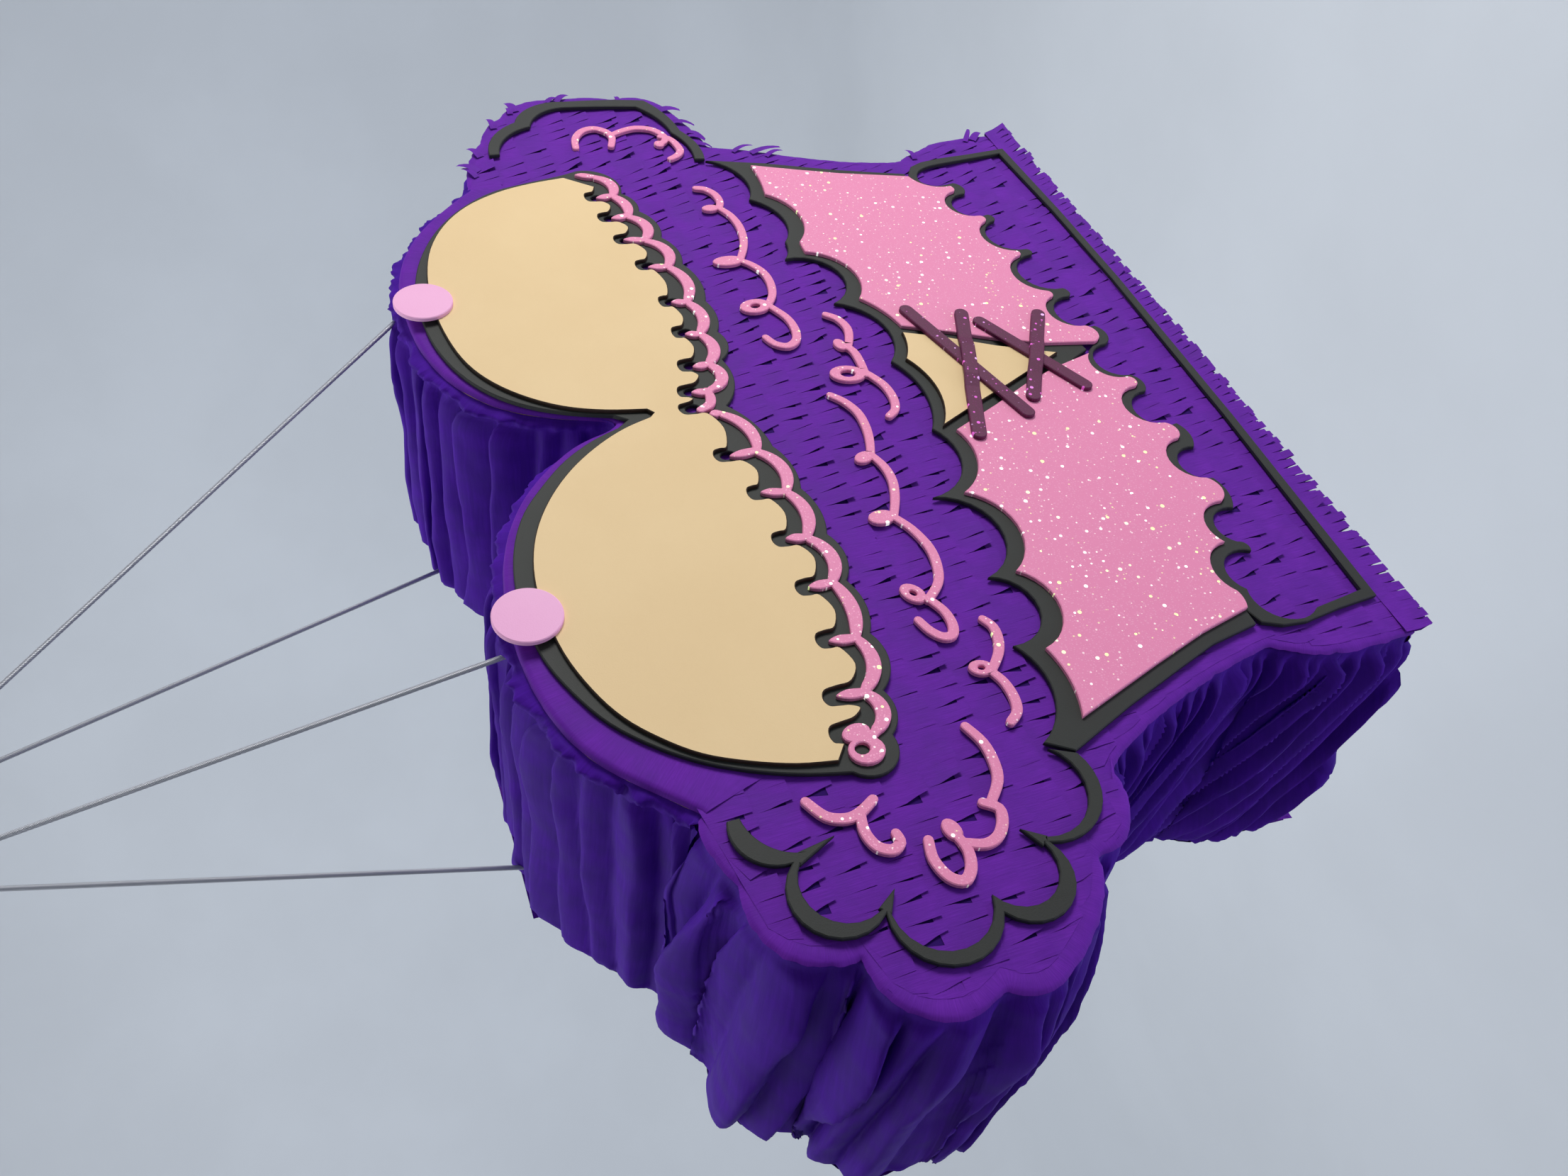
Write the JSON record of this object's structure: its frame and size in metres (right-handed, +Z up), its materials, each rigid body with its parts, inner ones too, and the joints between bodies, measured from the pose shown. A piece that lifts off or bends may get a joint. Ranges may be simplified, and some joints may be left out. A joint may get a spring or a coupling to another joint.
{
  "type": "pinata",
  "caption": "Hanging party pinata: a ruffled, laced corset-top shape in card and crepe paper with foam trim, hung by cords from a steel ring, with a filler flap behind.",
  "frame": {"origin": "middle of the hanging ring's hole", "axes": "+X to the viewer's right across the body, +Y from the front to the back, +Z up along the plumb line from the ring"},
  "size_m": [0.6204, 0.1729, 0.7057],
  "materials": {
    "cardboard": "plain brown card",
    "crepe": "matt fringed crepe paper",
    "foam_black": "matt foam sheet",
    "foam_skin": "matt foam sheet",
    "foam_pink_glitter": "foam sheet with fine glitter",
    "foam_plum_glitter": "foam sheet with fine glitter",
    "foam_pale_pink": "matt foam sheet",
    "cord_silver": "twisted metallic cord",
    "ring_steel": "welded wire",
    "tape": "masking tape"
  },
  "bodies": {
    "hanger": {"hang_ring": "ring_steel"},
    "flap": {"flap_panel": "cardboard", "flap_crepe": "crepe", "flap_tape_moving": "tape", "flap_tab": "tape"},
    "pinata": {"front_panel": "cardboard", "back_panel": "cardboard", "wall_waist_left": "cardboard", "wall_ruffle_left": "cardboard", "wall_dome_left": "cardboard", "wall_dome_right": "cardboard", "wall_ruffle_right": "cardboard", "wall_waist_right": "cardboard", "wall_hem": "cardboard", "crepe_front": "crepe", "crepe_back": "crepe", "crepe_waist_left": "crepe", "crepe_ruffle_left": "crepe", "crepe_dome_left": "crepe", "crepe_dome_right": "crepe", "crepe_ruffle_right": "crepe", "crepe_waist_right": "crepe", "crepe_hem": "crepe", "hem_fringe_front": "crepe", "hem_fringe_back": "crepe", "cup_backing": "foam_black", "cup_skin": "foam_skin", "cup_trim_left": "foam_pink_glitter", "cup_trim_right": "foam_pink_glitter", "swirl_ruffle_left_top": "foam_pink_glitter", "swirl_ruffle_left_low": "foam_pink_glitter", "swirl_band_left_short": "foam_pink_glitter", "swirl_band_left_long": "foam_pink_glitter", "swirl_band_middle": "foam_pink_glitter", "swirl_band_right_long": "foam_pink_glitter", "swirl_ruffle_right": "foam_pink_glitter", "ruffle_line_left": "foam_black", "ruffle_line_right": "foam_black", "waist_backing": "foam_black", "waist_panel_left": "foam_pink_glitter", "waist_panel_right": "foam_pink_glitter", "waist_skin": "foam_skin", "hem_line": "foam_black", "lace_1": "foam_plum_glitter", "lace_2": "foam_plum_glitter", "lace_3": "foam_plum_glitter", "lace_4": "foam_plum_glitter", "dot_left": "foam_pale_pink", "dot_right": "foam_pale_pink", "flap_tape_fixed": "tape", "knot_left": "cord_silver", "knot_right": "cord_silver", "cord_front_left": "cord_silver", "cord_front_right": "cord_silver", "cord_back_left": "cord_silver", "cord_back_right": "cord_silver", "anchor_discs": "cardboard", "anchor_knots": "cord_silver"}
  },
  "joints": [
    {"name": "sway", "type": "hinge", "parent": "hanger", "child": "pinata", "pos_m": [0, 0, -0.01572], "axis": [1, 0, 0], "range_deg": [-60, 60]},
    {"name": "flap_hinge", "type": "hinge", "parent": "pinata", "child": "flap", "pos_m": [0.093, 0.0845, -0.4095], "axis": [1, 0, 0], "range_deg": [0, 150]}
  ]
}
